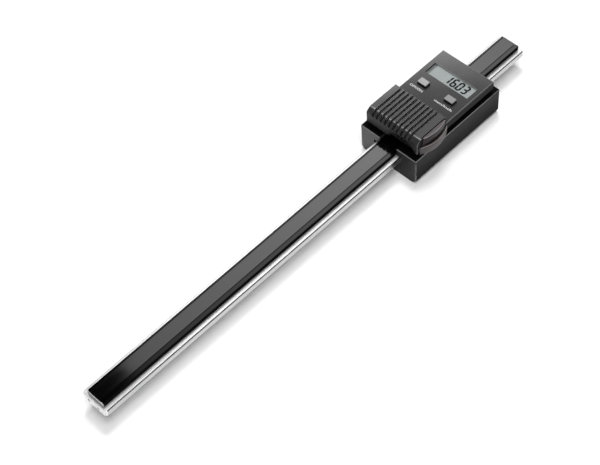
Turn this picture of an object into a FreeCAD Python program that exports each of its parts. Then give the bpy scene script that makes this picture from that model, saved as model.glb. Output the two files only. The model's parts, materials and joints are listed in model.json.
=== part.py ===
# Caliper linear scale: a flat beam with a scale strip, and a slider with a display that runs along it.
# Millimetres, real size. X runs along the beam, Z is up, and the origin is the middle of the slider's
# underside, where its four tapped holes are centred.
import FreeCAD
import Part
import Sketcher
import os

SAME_PLACE = 0.01

doc = FreeCAD.newDocument("linear_scale")
sheet = doc.addObject("Spreadsheet::Sheet", "Sizes")
nodes = []


class Size:
    """A length that carries its number and the sheet formula it comes from."""

    def __init__(self, text, number):
        self.text = text
        self.number = number

    def join(self, sign, first, second):
        a, b = as_size(first), as_size(second)
        results = {"+": a.number + b.number, "-": a.number - b.number, "*": a.number * b.number}
        number = a.number / b.number if sign == "/" else results[sign]
        return Size("(" + a.text + " " + sign + " " + b.text + ")", number)

    def __add__(self, other):
        return self.join("+", self, other)

    def __radd__(self, other):
        return self.join("+", other, self)

    def __sub__(self, other):
        return self.join("-", self, other)

    def __rsub__(self, other):
        return self.join("-", other, self)

    def __mul__(self, other):
        return self.join("*", self, other)

    def __rmul__(self, other):
        return self.join("*", other, self)

    def __truediv__(self, other):
        return self.join("/", self, other)

    def __neg__(self):
        return self.join("-", 0, self)


def as_size(value):
    return value if isinstance(value, Size) else Size(repr(value), value)


def size(name, number):
    """Write one driving size into the sheet and hand back its formula."""
    size.row += 1
    cell = "A%d" % size.row
    sheet.set(cell, repr(number))
    sheet.setAlias(cell, name)
    return Size("Sizes." + name, number)


size.row = 0

# Beam: a rail bar, a shorter black carrier on top of it and a thin scale strip let into the carrier
beam_length = size("beam_length", 352.0)
beam_width = size("beam_width", 20.0)
rail_height = size("rail_height", 4.25)
rail_edge = size("rail_edge", 0.6)
rail_reach = size("rail_reach", 2.3)
rail_corner = size("rail_corner", 2.2)
land_width = size("land_width", 13.25)
carrier_height = size("carrier_height", 2.5)
strip_height = size("strip_height", 0.6)
strip_left = size("strip_left", 5.2)
strip_right = size("strip_right", 3.65)
strip_gap = size("strip_gap", 0.4)
beam_overhang = size("beam_overhang", 37.5)
end_hole_radius = size("end_hole_radius", 1.025)
end_hole_depth = size("end_hole_depth", 8.0)
end_hole_spacing = size("end_hole_spacing", 8.0)

# Slider base: a block with a T-shaped channel for the beam
base_length = size("base_length", 78.0)
base_width = size("base_width", 45.0)
base_height = size("base_height", 21.0)
base_chamfer = size("base_chamfer", 2.8)
base_edge = size("base_edge", 0.4)
slide_gap = size("slide_gap", 0.1)
slot_gap = size("slot_gap", 0.28)
gib_thickness = size("gib_thickness", 1.6)
gib_gap = size("gib_gap", 0.05)
gib_end_inset = size("gib_end_inset", 1.0)
gib_screw_radius = size("gib_screw_radius", 1.5)
gib_screw_length = size("gib_screw_length", 8.0)
gib_screw_pitch = size("gib_screw_pitch", 26.0)
thread_gap = size("thread_gap", 0.05)
socket_radius = size("socket_radius", 0.75)
socket_depth = size("socket_depth", 1.5)
foot_hole_radius = size("foot_hole_radius", 1.65)
foot_hole_depth = size("foot_hole_depth", 8.0)
foot_hole_spacing_x = size("foot_hole_spacing_x", 60.0)
foot_hole_spacing_y = size("foot_hole_spacing_y", 30.0)

# Housing: foot plate, display case, fascia and ribbed cover
housing_width = size("housing_width", 41.0)
wall = size("wall", 1.8)
foot_height = size("foot_height", 2.5)
foot_inset = size("foot_inset", 2.0)
case_length = size("case_length", 44.15)
case_height = size("case_height", 5.0)
fascia_height = size("fascia_height", 1.2)
fascia_edge = size("fascia_edge", 0.35)
housing_near_inset = size("housing_near_inset", 3.4)
cover_length = size("cover_length", 26.4)
cover_height = size("cover_height", 11.1)
bevel_run = size("bevel_run", 3.5)
bevel_drop = size("bevel_drop", 2.3)
cover_roof = size("cover_roof", 2.4)
part_gap = size("part_gap", 0.1)
bend_radius = size("bend_radius", 2.5)
groove_pitch = size("groove_pitch", 3.25)
groove_width = size("groove_width", 1.7)
groove_depth = size("groove_depth", 1.4)
groove_count = size("groove_count", 10)
groove_middle = size("groove_middle", 0.9)
groove_end_drop = size("groove_end_drop", 3.9)
arch_radius = size("arch_radius", 12.9)
arch_drop = size("arch_drop", 3.5)
boss_side = size("boss_side", 3.8)
boss_top_gap = size("boss_top_gap", 0.4)
boss_side_inset = size("boss_side_inset", 3.7)
boss_end_inset = size("boss_end_inset", 3.7)
boss_cover_inset = size("boss_cover_inset", 5.3)
case_screw_radius = size("case_screw_radius", 0.8)
case_screw_head = size("case_screw_head", 1.3)
case_head_height = size("case_head_height", 1.0)
case_screw_length = size("case_screw_length", 5.0)
case_drive_radius = size("case_drive_radius", 0.6)
case_drive_depth = size("case_drive_depth", 0.5)
plate_screw_radius = size("plate_screw_radius", 1.2)
plate_screw_head = size("plate_screw_head", 2.2)
plate_head_height = size("plate_head_height", 1.3)
plate_screw_length = size("plate_screw_length", 6.0)
plate_drive_radius = size("plate_drive_radius", 0.75)
plate_drive_depth = size("plate_drive_depth", 0.65)
plate_screw_side_inset = size("plate_screw_side_inset", 2.8)
plate_screw_end_inset = size("plate_screw_end_inset", 13.2)

# Display and electronics
window_far_inset = size("window_far_inset", 16.25)
window_width = size("window_width", 9.8)
window_side_inset = size("window_side_inset", 3.5)
window_height = size("window_height", 0.9)
window_recess = size("window_recess", 0.08)
glass_width = size("glass_width", 13.4)
glass_side_gap = size("glass_side_gap", 0.4)
glass_height = size("glass_height", 1.6)
board_lift = size("board_lift", 0.4)
board_height = size("board_height", 1.2)
board_side_gap = size("board_side_gap", 0.9)
standoff_side = size("standoff_side", 2.6)
standoff_inset = size("standoff_inset", 2.5)
rubber_width = size("rubber_width", 1.4)
rubber_inset = size("rubber_inset", 1.8)
chip_side = size("chip_side", 7.0)
chip_height = size("chip_height", 0.9)
head_side_gap = size("head_side_gap", 0.4)
head_length = size("head_length", 38.0)
head_height = size("head_height", 1.6)
head_gap = size("head_gap", 0.25)
rib_height = size("rib_height", 0.4)
rib_inset = size("rib_inset", 2.0)
pin_count = size("pin_count", 6)
pin_side = size("pin_side", 0.6)
pin_pitch = size("pin_pitch", 2.0)
pin_slot_gap = size("pin_slot_gap", 0.5)
pin_offset = size("pin_offset", 5.0)
button_near_inset = size("button_near_inset", 14.7)
button_side_inset = size("button_side_inset", 9.8)
button_width = size("button_width", 4.6)
button_length = size("button_length", 7.0)
button_rise = size("button_rise", 2.2)
button_corner = size("button_corner", 0.35)
button_gap = size("button_gap", 0.2)
button_flange = size("button_flange", 0.8)
flange_height = size("flange_height", 0.8)
button_travel = size("button_travel", 0.5)
press_gap = size("press_gap", 0.1)
stem_side = size("stem_side", 2.2)
switch_side = size("switch_side", 5.0)
switch_height = size("switch_height", 0.9)
plunger_side = size("plunger_side", 2.4)
plunger_height = size("plunger_height", 0.3)

# Battery drawer, coin cell and contacts
drawer_far_inset = size("drawer_far_inset", 11.6)
drawer_gap = size("drawer_gap", 0.25)
tray_wall = size("tray_wall", 1.3)
tray_floor = size("tray_floor", 0.8)
tray_height = size("tray_height", 3.3)
cell_radius = size("cell_radius", 10.0)
cell_height = size("cell_height", 3.2)
cell_gap = size("cell_gap", 0.25)
cell_front_gap = size("cell_front_gap", 1.2)
front_half = size("front_half", 10.0)
front_wall = size("front_wall", 0.9)
front_sink = size("front_sink", 0.3)
front_bulge = size("front_bulge", 1.8)
front_proud = size("front_proud", 0.5)
front_gap = size("front_gap", 0.5)
nail_slot = size("nail_slot", 1.65)
lip_half = size("lip_half", 12.6)
lip_bulge = size("lip_bulge", 3.7)
lip_wall = size("lip_wall", 0.9)
lip_height = size("lip_height", 6.3)
contact_width = size("contact_width", 4.0)
contact_sheet = size("contact_sheet", 0.3)
contact_reach = size("contact_reach", 3.0)
rim_gap = size("rim_gap", 0.15)
lead_gap = size("lead_gap", 0.2)
tab_bottom_lift = size("tab_bottom_lift", 0.5)
tab_side_gap = size("tab_side_gap", 0.6)
port_depth = size("port_depth", 1.0)
port_height = size("port_height", 5.1)
pad_count = size("pad_count", 4)
pad_width = size("pad_width", 1.2)
pad_height = size("pad_height", 2.4)
pad_lift = size("pad_lift", 1.2)
pad_sheet = size("pad_sheet", 0.15)
pad_pitch = size("pad_pitch", 2.54)

doc.recompute()

# Levels, from the base's top face down to the beam and up to the housing
head_top = base_height - rib_height
head_bottom = head_top - head_height
strip_top = head_bottom - head_gap
strip_seat = strip_top - strip_height
ledge = strip_seat - carrier_height
beam_bottom = ledge - rail_height
channel_floor = beam_bottom - slide_gap
channel_roof = ledge + slide_gap
case_bottom = base_height + foot_height
fascia_bottom = case_bottom + case_height
panel_top = fascia_bottom + fascia_height
cover_top = case_bottom + cover_height
board_bottom = case_bottom + board_lift
board_top = board_bottom + board_height
glass_top = fascia_bottom - press_gap
glass_bottom = glass_top - glass_height
flange_top = fascia_bottom - press_gap / 2
flange_bottom = flange_top - flange_height
plunger_top = board_top + switch_height + plunger_height
stem_bottom = plunger_top + button_travel + press_gap
drawer_bottom = base_height + drawer_gap
cell_bottom = drawer_bottom + tray_floor
cell_top = cell_bottom + cell_height
bay_top = cell_top + drawer_gap
lip_top = drawer_bottom + lip_height
front_top = cover_top - drawer_gap / 2
front_bottom = lip_top + nail_slot
groove_end_height = cover_top - groove_end_drop
arch_middle_z = base_height - arch_drop
boss_height = case_height - boss_top_gap

# Places along the beam, from the base's near end
beam_far = base_length / 2 + beam_overhang
beam_near = beam_far - beam_length
rail_near = beam_near - rail_reach
rail_far = beam_far + rail_reach
cover_front = housing_near_inset - base_length / 2
step_x = cover_front + cover_length
case_near = step_x + part_gap
panel_far = case_near + case_length
boss_near_x = case_near + boss_end_inset
boss_far_x = panel_far - boss_end_inset
boss_cover_near_x = cover_front + boss_cover_inset
boss_cover_far_x = step_x - boss_cover_inset
plate_screw_far_x = panel_far - plate_screw_end_inset
plate_screw_cover_x = (boss_cover_near_x + boss_cover_far_x) / 2
window_x = panel_far - window_far_inset
button_x = case_near + button_near_inset
boss_half = boss_side / 2
board_near = boss_near_x + boss_half + part_gap
board_far = boss_far_x - boss_half - part_gap
head_x = (case_near + panel_far) / 2
pin_x = head_x - pin_offset
drawer_x = step_x - drawer_far_inset

# Places across the beam, from its middle and from the housing's sides
slot_half = land_width / 2 + slot_gap
channel_right = -beam_width / 2 - slide_gap
gib_inner = beam_width / 2 + slide_gap
channel_left = gib_inner + gib_thickness + gib_gap
half_width = housing_width / 2
foot_half = half_width - foot_inset
boss_y = half_width - boss_side_inset
plate_screw_y = foot_half - plate_screw_side_inset
window_half = half_width - window_side_inset
glass_half = half_width - wall - glass_side_gap
board_half = half_width - wall - board_side_gap
rubber_half = glass_half - rubber_inset
head_half = slot_half - head_side_gap
rib_half = head_half - rib_inset
button_y = half_width - button_side_inset
tray_half = cell_radius + tray_wall
cell_y = front_wall + cell_front_gap + cell_radius - half_width
lip_radius = (lip_half * lip_half + lip_bulge * lip_bulge) / (2 * lip_bulge)
lip_middle_y = lip_radius - half_width - lip_bulge
front_radius = (front_half * front_half + front_bulge * front_bulge) / (2 * front_bulge)
front_middle_y = front_radius - half_width - front_proud - front_bulge
arch_middle_y = arch_radius - half_width


def bind(thing, field, value):
    thing.setExpression(field, as_size(value).text)


def place(thing, x, y, z):
    bind(thing, "Placement.Base.x", x)
    bind(thing, "Placement.Base.y", y)
    bind(thing, "Placement.Base.z", z)


def block(name, x, y, z):
    """A box between the pairs of limits given for x, y and z."""
    box = doc.addObject("Part::Box", name)
    bind(box, "Length", x[1] - x[0])
    bind(box, "Width", y[1] - y[0])
    bind(box, "Height", z[1] - z[0])
    place(box, x[0], y[0], z[0])
    return box


TURNS = {
    "z": FreeCAD.Rotation(),
    "x": FreeCAD.Rotation(FreeCAD.Vector(0, 1, 0), 90),
    "y": FreeCAD.Rotation(FreeCAD.Vector(1, 0, 0), -90),
}


def rod(name, along, start, radius, length):
    """A cylinder from its start point along the positive x, y or z direction."""
    part = doc.addObject("Part::Cylinder", name)
    part.Placement = FreeCAD.Placement(FreeCAD.Vector(0, 0, 0), TURNS[along])
    bind(part, "Radius", radius)
    bind(part, "Height", length)
    place(part, start[0], start[1], start[2])
    return part


def hex_socket(name, along, start, radius, depth):
    """A six-sided recess, sized by its corner radius, from its start point along x, y or z."""
    part = doc.addObject("Part::Prism", name)
    part.Polygon = 6
    part.Placement = FreeCAD.Placement(FreeCAD.Vector(0, 0, 0), TURNS[along])
    bind(part, "Circumradius", radius)
    bind(part, "Height", depth)
    place(part, start[0], start[1], start[2])
    return part


def fuse(name, parts):
    joined = doc.addObject("Part::MultiFuse", name)
    joined.Shapes = parts
    joined.Refine = True
    return joined


def common(name, parts):
    shared = doc.addObject("Part::MultiCommon", name)
    shared.Shapes = parts
    return shared


def cut(name, whole, tools):
    tool = tools[0] if len(tools) == 1 else fuse(name + "_cutter", tools)
    result = doc.addObject("Part::Cut", name)
    result.Base = whole
    result.Tool = tool
    return result


def group(name, parts):
    bundle = doc.addObject("Part::Compound", name)
    bundle.Links = parts
    return bundle


def node(name, thing):
    thing.Label = name
    nodes.append((name, thing))
    return thing


def body(name):
    return doc.addObject("PartDesign::Body", name)


def sketch(owner, plane, name, offset=0):
    """A sketch on one of the body's own origin planes, moved along the plane's normal by the offset."""
    drawing = owner.newObject("Sketcher::SketchObject", name)
    support = [f for f in owner.Origin.OriginFeatures if f.Role == plane][0]
    drawing.AttachmentSupport = [(support, "")]
    drawing.MapMode = "FlatFace"
    bind(drawing, "AttachmentOffset.Base.z", offset)
    return drawing


def outline(drawing, points):
    """A closed outline whose corners are all held to the sheet's sizes."""
    points = [(as_size(u), as_size(v)) for u, v in points]
    count = len(points)
    first = drawing.GeometryCount
    for i in range(count):
        a, b = points[i], points[(i + 1) % count]
        start = FreeCAD.Vector(a[0].number, a[1].number, 0)
        end = FreeCAD.Vector(b[0].number, b[1].number, 0)
        drawing.addGeometry(Part.LineSegment(start, end))
    for i in range(count):
        drawing.addConstraint(Sketcher.Constraint("Coincident", first + i, 2, first + (i + 1) % count, 1))
    for i in range(count):
        for kind, value in (("DistanceX", points[i][0]), ("DistanceY", points[i][1])):
            held = drawing.addConstraint(Sketcher.Constraint(kind, -1, 1, first + i, 1, value.number))
            bind(drawing, "Constraints[%d]" % held, value)


def ring(drawing, u, v, radius):
    """A circle held to the sheet's sizes."""
    u, v, radius = as_size(u), as_size(v), as_size(radius)
    middle = FreeCAD.Vector(u.number, v.number, 0)
    circle = drawing.addGeometry(Part.Circle(middle, FreeCAD.Vector(0, 0, 1), radius.number))
    for kind, value in (("DistanceX", u), ("DistanceY", v)):
        held = drawing.addConstraint(Sketcher.Constraint(kind, -1, 1, circle, 3, value.number))
        bind(drawing, "Constraints[%d]" % held, value)
    held = drawing.addConstraint(Sketcher.Constraint("Radius", circle, radius.number))
    bind(drawing, "Constraints[%d]" % held, radius)


def pad(owner, drawing, name, length, both_ways=False):
    feature = owner.newObject("PartDesign::Pad", name)
    feature.Profile = drawing
    feature.Midplane = both_ways
    bind(feature, "Length", length)
    owner.Tip = feature
    return feature


def pocket(owner, drawing, name, length, both_ways=False, turned=False):
    feature = owner.newObject("PartDesign::Pocket", name)
    feature.Profile = drawing
    feature.Midplane = both_ways
    feature.Reversed = turned
    bind(feature, "Length", length)
    owner.Tip = feature
    return feature


def edges_where(thing, wanted):
    """Names of the edges whose middle point and direction suit the given test."""
    names = []
    for i, edge in enumerate(thing.Shape.Edges):
        along = edge.Vertexes[-1].Point - edge.Vertexes[0].Point
        if wanted(edge.CenterOfMass, along):
            names.append("Edge%d" % (i + 1))
    return names


def bevel_edges(owner, feature, name, names, amount):
    chamfer = owner.newObject("PartDesign::Chamfer", name)
    chamfer.Base = (feature, names)
    bind(chamfer, "Size", amount)
    owner.Tip = chamfer
    return chamfer


def round_edges(owner, feature, name, names, radius):
    fillet = owner.newObject("PartDesign::Fillet", name)
    fillet.Base = (feature, names)
    bind(fillet, "Radius", radius)
    owner.Tip = fillet
    return fillet


# Rail bar: round corners, a bevel round its top face and two tapped holes in each end face
bar = body("rail_bar")
plan = sketch(bar, "XY_Plane", "rail_plan", beam_bottom)
rail_half = beam_width / 2
outline(plan, [
    (rail_near, -rail_half), (rail_far, -rail_half), (rail_far, rail_half), (rail_near, rail_half),
])
rail_pad = pad(bar, plan, "rail_pad", rail_height)
doc.recompute()
upright = edges_where(rail_pad, lambda point, along: abs(along.z) > SAME_PLACE)
rail_round = round_edges(bar, rail_pad, "rail_corners", upright, rail_corner)
doc.recompute()
rim = edges_where(rail_round, lambda point, along: abs(point.z - ledge.number) < SAME_PLACE)
bevel_edges(bar, rail_round, "rail_rim", rim, rail_edge)
rail_middle = beam_bottom + rail_height / 2
end_holes = []
for end, start in (("near", rail_near), ("far", rail_far - end_hole_depth)):
    for side, y in (("left", end_hole_spacing / 2), ("right", -end_hole_spacing / 2)):
        hole = rod("end_hole_%s_%s" % (end, side), "x", (start, y, rail_middle),
                   end_hole_radius, end_hole_depth)
        end_holes.append(hole)
node("scale_beam", cut("beam_with_holes", bar, end_holes))
carrier_half = land_width / 2
carrier_bar = block("carrier_bar", (beam_near, beam_far), (-carrier_half, carrier_half), (ledge, strip_top))
strip_way = block("strip_way", (beam_near, beam_far), (-strip_right - strip_gap, strip_left + strip_gap),
                  (strip_seat, strip_top))
node("scale_carrier", cut("carrier_with_way", carrier_bar, [strip_way]))
node("scale_strip", block("strip", (beam_near, beam_far), (-strip_right, strip_left),
                          (strip_seat, strip_top)))

# Slider base with its T channel, chamfered along the bottom and at the upright corners
base = body("base_block")
profile = sketch(base, "YZ_Plane", "base_profile")
base_half = base_width / 2
outline(profile, [
    (-base_half + base_chamfer, 0), (base_half - base_chamfer, 0), (base_half, base_chamfer),
    (base_half, base_height - base_edge), (base_half - base_edge, base_height),
    (slot_half, base_height), (slot_half, channel_roof), (channel_left, channel_roof),
    (channel_left, channel_floor), (channel_right, channel_floor), (channel_right, channel_roof),
    (-slot_half, channel_roof), (-slot_half, base_height), (-base_half + base_edge, base_height),
    (-base_half, base_height - base_edge), (-base_half, base_chamfer),
])
base_pad = pad(base, profile, "base_pad", base_length, both_ways=True)
doc.recompute()


def base_end_edge(point, along):
    at_end = abs(abs(point.x) - base_length.number / 2) < SAME_PLACE
    at_side = abs(point.y) > base_half.number - base_edge.number - SAME_PLACE
    on_top = abs(point.z - base_height.number) < SAME_PLACE
    above_chamfer = point.z > base_chamfer.number
    return at_end and above_chamfer and (at_side or on_top)


bevel_edges(base, base_pad, "base_end_edges", edges_where(base_pad, base_end_edge), base_edge)
tapped = []
for i, (sx, sy) in enumerate(((1, 1), (1, -1), (-1, 1), (-1, -1))):
    place_x = sx * foot_hole_spacing_x / 2
    place_y = sy * foot_hole_spacing_y / 2
    tapped.append(rod("foot_hole_%d" % i, "z", (place_x, place_y, 0), foot_hole_radius, foot_hole_depth))
plate_places = [
    (plate_screw_far_x, plate_screw_y), (plate_screw_far_x, -plate_screw_y),
    (plate_screw_cover_x, plate_screw_y),
]
for i, (x, y) in enumerate(plate_places):
    tapped.append(rod("plate_hole_%d" % i, "z", (x, y, base_height - plate_screw_length),
                      plate_screw_radius + thread_gap, plate_screw_length))
gib_screw_places = [-gib_screw_pitch, as_size(0), gib_screw_pitch]
for i, x in enumerate(gib_screw_places):
    tapped.append(rod("gib_hole_%d" % i, "y", (x, channel_left - gib_gap, rail_middle),
                      gib_screw_radius + thread_gap, base_half - channel_left + 2 * gib_gap))
node("slider_base", cut("base_with_holes", base, tapped))

# Gib between the left rail and the base, set by three screws
gib_end = base_length / 2 - gib_end_inset
node("gib_strip", block("gib", (-gib_end, gib_end), (gib_inner, gib_inner + gib_thickness),
                        (channel_floor + gib_gap, channel_roof - gib_gap)))
screws = []
gib_back = gib_inner + gib_thickness
for i, x in enumerate(gib_screw_places):
    shank = rod("gib_shank_%d" % i, "y", (x, gib_back, rail_middle), gib_screw_radius, gib_screw_length)
    socket_start = gib_back + gib_screw_length - socket_depth
    socket = hex_socket("gib_socket_%d" % i, "y", (x, socket_start, rail_middle),
                        socket_radius, socket_depth)
    screws.append(cut("gib_screw_%d" % i, shank, [socket]))
node("gib_screws", group("gib_screw_set", screws))

# Foot plate: stands on the base, set back under the housing, open at the battery bay
foot_near = cover_front + foot_inset
foot_far = panel_far - foot_inset
bay_far = drawer_x + tray_half + drawer_gap
bay_back = cell_y + tray_half + drawer_gap
head_near = head_x - head_length / 2
head_far = head_x + head_length / 2
plate = block("foot_plate", (foot_near, foot_far), (-foot_half, foot_half), (base_height, case_bottom))
rib = block("head_rib", (head_near, head_far), (-rib_half, rib_half), (head_top, base_height))
standoffs = []
stand_y = board_half - standoff_inset
stand_half = standoff_side / 2
for i, (x, y) in enumerate((
    (board_far - standoff_inset, stand_y), (board_far - standoff_inset, -stand_y),
    (board_near + standoff_inset, stand_y), (board_near + standoff_inset, -stand_y),
)):
    standoffs.append(block("standoff_%d" % i, (x - stand_half, x + stand_half),
                           (y - stand_half, y + stand_half), (case_bottom, board_bottom)))
whole_plate = fuse("foot_plate_whole", [plate, rib] + standoffs)
bay = block("battery_bay", (foot_near - wall, bay_far), (-half_width, bay_back), (base_height, case_bottom))
pin_half = (pin_count - 1) * pin_pitch / 2 + pin_side / 2 + pin_slot_gap
pin_slot = block("pin_slot", (pin_x - pin_side / 2 - pin_slot_gap, pin_x + pin_side / 2 + pin_slot_gap),
                 (-pin_half, pin_half), (head_top, case_bottom))
plate_cuts = [bay, pin_slot]
plate_screws = []
for i, (x, y) in enumerate(plate_places):
    seat = case_bottom - plate_head_height
    plate_cuts.append(rod("plate_way_%d" % i, "z", (x, y, base_height),
                          plate_screw_radius + thread_gap, foot_height))
    plate_cuts.append(rod("plate_seat_%d" % i, "z", (x, y, seat), plate_screw_head + part_gap,
                          plate_head_height))
    head = rod("plate_head_%d" % i, "z", (x, y, seat), plate_screw_head, plate_head_height)
    under = base_height - plate_screw_length + part_gap
    shank = rod("plate_shank_%d" % i, "z", (x, y, under), plate_screw_radius, seat - under)
    drive = hex_socket("plate_drive_%d" % i, "z", (x, y, case_bottom - plate_drive_depth),
                       plate_drive_radius, plate_drive_depth)
    plate_screws.append(cut("plate_screw_%d" % i, fuse("plate_screw_body_%d" % i, [head, shank]), [drive]))
boss_places = [
    (boss_far_x, boss_y), (boss_far_x, -boss_y), (boss_near_x, boss_y), (boss_near_x, -boss_y),
]
cover_boss_places = [(boss_cover_far_x, boss_y), (boss_cover_near_x, boss_y)]
case_screws = []
for i, (x, y) in enumerate(boss_places + cover_boss_places):
    plate_cuts.append(rod("case_way_%d" % i, "z", (x, y, base_height),
                          case_screw_radius + thread_gap, foot_height))
    plate_cuts.append(rod("case_seat_%d" % i, "z", (x, y, base_height), case_screw_head + part_gap,
                          case_head_height))
    head = rod("case_head_%d" % i, "z", (x, y, base_height), case_screw_head, case_head_height)
    shank = rod("case_shank_%d" % i, "z", (x, y, base_height), case_screw_radius,
                case_head_height + case_screw_length)
    drive = hex_socket("case_drive_%d" % i, "z", (x, y, base_height), case_drive_radius,
                       case_drive_depth)
    case_screws.append(cut("case_screw_%d" % i, fuse("case_screw_body_%d" % i, [head, shank]), [drive]))
node("foot_plate", cut("foot_plate_cut", whole_plate, plate_cuts))
node("plate_screws", group("plate_screw_set", plate_screws))
node("case_screws", group("case_screw_set", case_screws))


def bosses(name, places):
    """Square posts and the pilot holes for the screws that come up through the foot plate."""
    posts = []
    pilots = []
    for i, (x, y) in enumerate(places):
        posts.append(block("%s_post_%d" % (name, i), (x - boss_half, x + boss_half),
                           (y - boss_half, y + boss_half), (case_bottom, case_bottom + boss_height)))
        pilots.append(rod("%s_pilot_%d" % (name, i), "z", (x, y, case_bottom),
                          case_screw_radius + thread_gap, boss_height - part_gap))
    return posts, pilots


# Display case: four walls on the foot plate, with corner bosses
case_outer = block("case_outer", (case_near, panel_far), (-half_width, half_width),
                   (case_bottom, fascia_bottom))
case_inner = block("case_inner", (case_near + wall, panel_far - wall),
                   (-half_width + wall, half_width - wall), (case_bottom, fascia_bottom))
contact_level = cell_top + part_gap
plus_near_y = cell_y + cell_radius + rim_gap
plus_far_y = plus_near_y + contact_width
lead_way = block("case_lead_way", (case_near, case_near + wall),
                 (cell_y - contact_width / 2 - lead_gap, plus_far_y + lead_gap),
                 (contact_level - lead_gap, contact_level + contact_sheet + lead_gap))
posts, pilots = bosses("case", boss_places)
case_shell = cut("case_shell", case_outer, [case_inner, lead_way])
node("display_case", cut("case_with_bosses", fuse("case_posts", [case_shell] + posts), pilots))

# Fascia: flat top plate with the window and the two button openings
face = body("fascia_plate")
plan = sketch(face, "XY_Plane", "fascia_plan", fascia_bottom)
outline(plan, [
    (case_near, -half_width), (panel_far, -half_width), (panel_far, half_width), (case_near, half_width),
])
face_pad = pad(face, plan, "fascia_pad", fascia_height)
openings = sketch(face, "XY_Plane", "fascia_openings", panel_top)
half_window = window_width / 2
outline(openings, [
    (window_x - half_window, -window_half), (window_x + half_window, -window_half),
    (window_x + half_window, window_half), (window_x - half_window, window_half),
])
for side in (1, -1):
    reach_x = button_width / 2 + button_gap
    reach_y = button_length / 2 + button_gap
    middle = side * button_y
    outline(openings, [
        (button_x - reach_x, middle - reach_y), (button_x + reach_x, middle - reach_y),
        (button_x + reach_x, middle + reach_y), (button_x - reach_x, middle + reach_y),
    ])
face_cut = pocket(face, openings, "fascia_cut", fascia_height)
doc.recompute()


def fascia_rim(point, along):
    on_top = abs(point.z - panel_top.number) < SAME_PLACE
    at_side = abs(abs(point.y) - half_width.number) < SAME_PLACE
    at_far = abs(point.x - panel_far.number) < SAME_PLACE
    return on_top and (at_side or at_far)


bevel_edges(face, face_cut, "fascia_rim", edges_where(face_cut, fascia_rim), fascia_edge)
node("display_fascia", face)
window_top = panel_top - window_recess
node("display_window", block(
    "window", (window_x - half_window, window_x + half_window),
    (-window_half, window_half), (window_top - window_height, window_top)))

# Liquid crystal glass, its two rubber connectors, the board and what stands on it
node("lcd_panel", block("lcd_glass", (window_x - glass_width / 2, window_x + glass_width / 2),
                        (-glass_half, glass_half), (glass_bottom, glass_top)))
rubbers = []
for side in (1, -1):
    middle = window_x + side * (glass_width - rubber_width) / 2
    rubbers.append(block("rubber_%s" % ("far" if side > 0 else "near"),
                         (middle - rubber_width / 2, middle + rubber_width / 2),
                         (-rubber_half, rubber_half), (board_top, glass_bottom)))
node("lcd_connectors", group("rubber_pair", rubbers))
node("main_board", block("board", (board_near, board_far), (-board_half, board_half),
                         (board_bottom, board_top)))
node("main_chip", block("chip", (window_x - chip_side / 2, window_x + chip_side / 2),
                        (-chip_side / 2, chip_side / 2), (board_top, board_top + chip_height)))
switches = []
for side in (1, -1):
    label = "left" if side > 0 else "right"
    middle = side * button_y
    can = block("switch_can_" + label, (button_x - switch_side / 2, button_x + switch_side / 2),
                (middle - switch_side / 2, middle + switch_side / 2), (board_top, board_top + switch_height))
    plunger = block("switch_plunger_" + label, (button_x - plunger_side / 2, button_x + plunger_side / 2),
                    (middle - plunger_side / 2, middle + plunger_side / 2),
                    (board_top + switch_height, plunger_top))
    switches.append(fuse("switch_" + label, [can, plunger]))
node("key_switches", group("switch_pair", switches))
node("read_head", block("head_board", (head_near, head_far), (-head_half, head_half),
                        (head_bottom, head_top)))
pins = []
for i in range(pin_count.number):
    middle = (i - (pin_count - 1) / 2) * pin_pitch
    pins.append(block("pin_%d" % i, (pin_x - pin_side / 2, pin_x + pin_side / 2),
                      (middle - pin_side / 2, middle + pin_side / 2), (head_top, board_bottom)))
node("head_pins", group("pin_row", pins))

# Two push buttons, each with a flange under the fascia and a stem over its switch
for side in (1, -1):
    label = "button_left" if side > 0 else "button_right"
    middle = side * button_y
    key = body(label + "_body")
    plan = sketch(key, "XY_Plane", label + "_plan", flange_top)
    hx, hy = button_width / 2, button_length / 2
    outline(plan, [
        (button_x - hx, middle - hy), (button_x + hx, middle - hy),
        (button_x + hx, middle + hy), (button_x - hx, middle + hy),
    ])
    cap = pad(key, plan, label + "_cap", panel_top + button_rise - flange_top)
    doc.recompute()
    top_level = (panel_top + button_rise).number
    rim = edges_where(cap, lambda point, along: abs(point.z - top_level) < SAME_PLACE)
    bevel_edges(key, cap, label + "_rim", rim, button_corner)
    reach_x = hx + button_flange
    reach_y = hy + button_flange
    flange = block(label + "_flange", (button_x - reach_x, button_x + reach_x),
                   (middle - reach_y, middle + reach_y), (flange_bottom, flange_top))
    stem = block(label + "_stem", (button_x - stem_side / 2, button_x + stem_side / 2),
                 (middle - stem_side / 2, middle + stem_side / 2), (stem_bottom, flange_bottom))
    node(label, fuse(label + "_whole", [key, flange, stem]))

# Ribbed cover: bevelled front, grooves that run over the top and down the front, and an arch in the front
cover = body("cover_body")
profile = sketch(cover, "XZ_Plane", "cover_profile")
bevel_top = cover_front + bevel_run
bevel_low = cover_top - bevel_drop
outline(profile, [
    (cover_front, case_bottom), (step_x, case_bottom), (step_x, cover_top),
    (bevel_top, cover_top), (cover_front, bevel_low),
])
cover_pad = pad(cover, profile, "cover_pad", housing_width, both_ways=True)
doc.recompute()


def cover_bend(point, along):
    at_top = abs(point.x - bevel_top.number) < SAME_PLACE and abs(point.z - cover_top.number) < SAME_PLACE
    at_low = abs(point.x - cover_front.number) < SAME_PLACE and abs(point.z - bevel_low.number) < SAME_PLACE
    return at_top or at_low


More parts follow.
